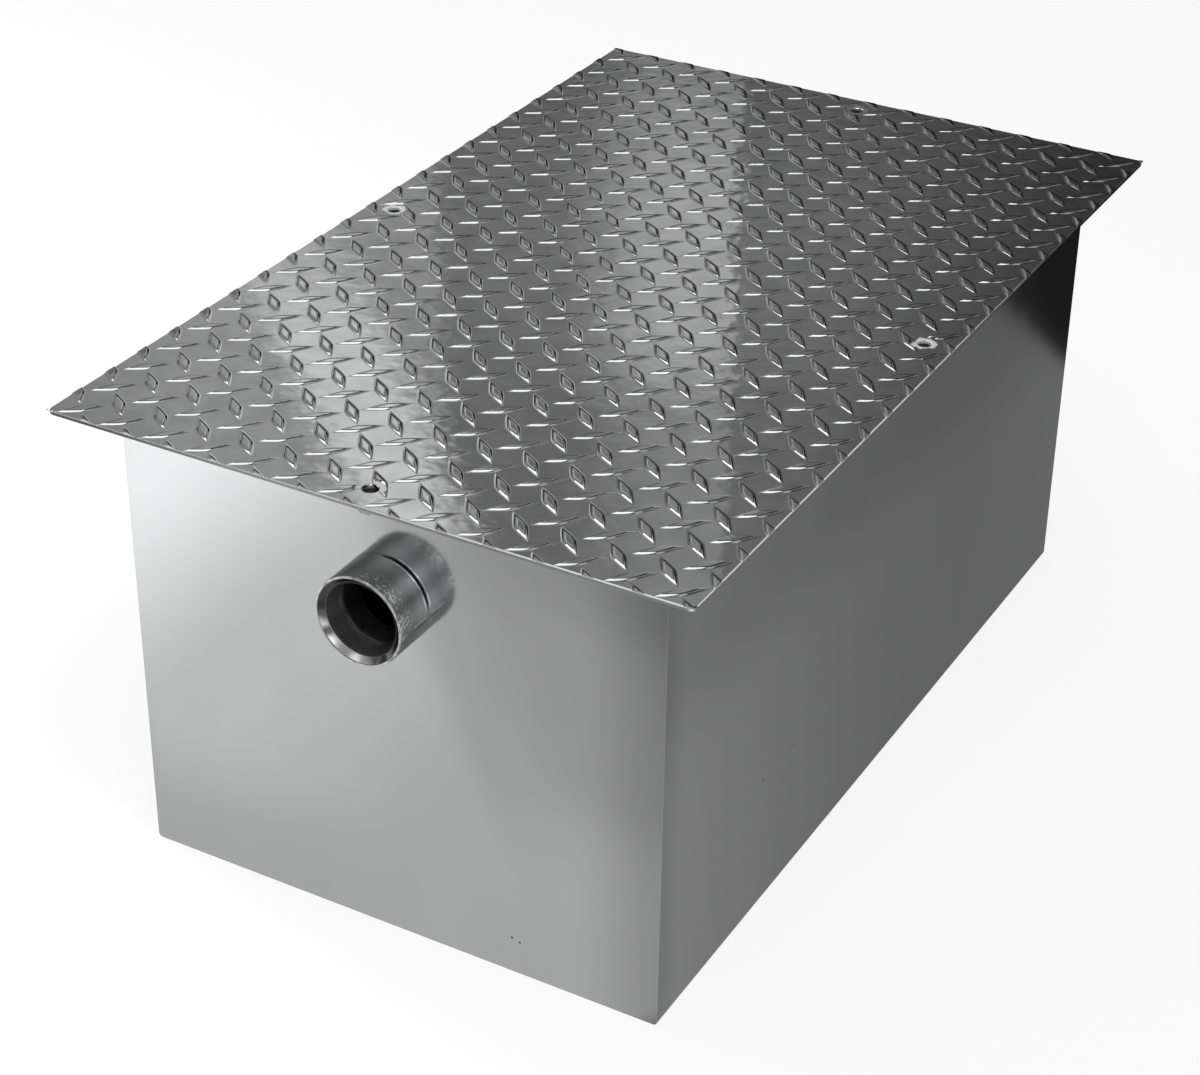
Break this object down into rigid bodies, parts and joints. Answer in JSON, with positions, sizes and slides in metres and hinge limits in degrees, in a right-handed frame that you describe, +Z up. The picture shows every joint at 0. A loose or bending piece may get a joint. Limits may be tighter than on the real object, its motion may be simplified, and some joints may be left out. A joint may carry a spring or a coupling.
{
  "type": "grease trap",
  "caption": "Rectangular sheet metal grease trap with a loose tread plate lid, threaded pipe couplings at both ends and lift-out baffles inside.",
  "frame": {"origin": "on the floor, under the middle of the tank", "axes": "+Z up, +Y from the inlet to the outlet, +X to the right as seen from the inlet"},
  "size_m": [0.533, 0.852, 0.3993],
  "materials": {
    "tank_sheet": "polished stainless sheet",
    "tread_plate": "rolled tread plate",
    "coupling_steel": "dark turned steel",
    "gasket_rubber": "matt",
    "nut_steel": "bright",
    "baffle_sheet": "mill finish sheet"
  },
  "bodies": {
    "root": {"body_wrap": "tank_sheet", "inlet_end_panel": "tank_sheet", "outlet_end_panel": "tank_sheet", "inlet_coupling": "coupling_steel", "outlet_coupling": "coupling_steel", "lid": "tread_plate", "lid_gasket": "gasket_rubber", "lid_nuts": "nut_steel", "inlet_baffle": "baffle_sheet", "outlet_baffle": "baffle_sheet", "inlet_guide_left": "baffle_sheet", "inlet_guide_right": "baffle_sheet", "outlet_guide_left": "baffle_sheet", "outlet_guide_right": "baffle_sheet"}
  },
  "joints": []
}
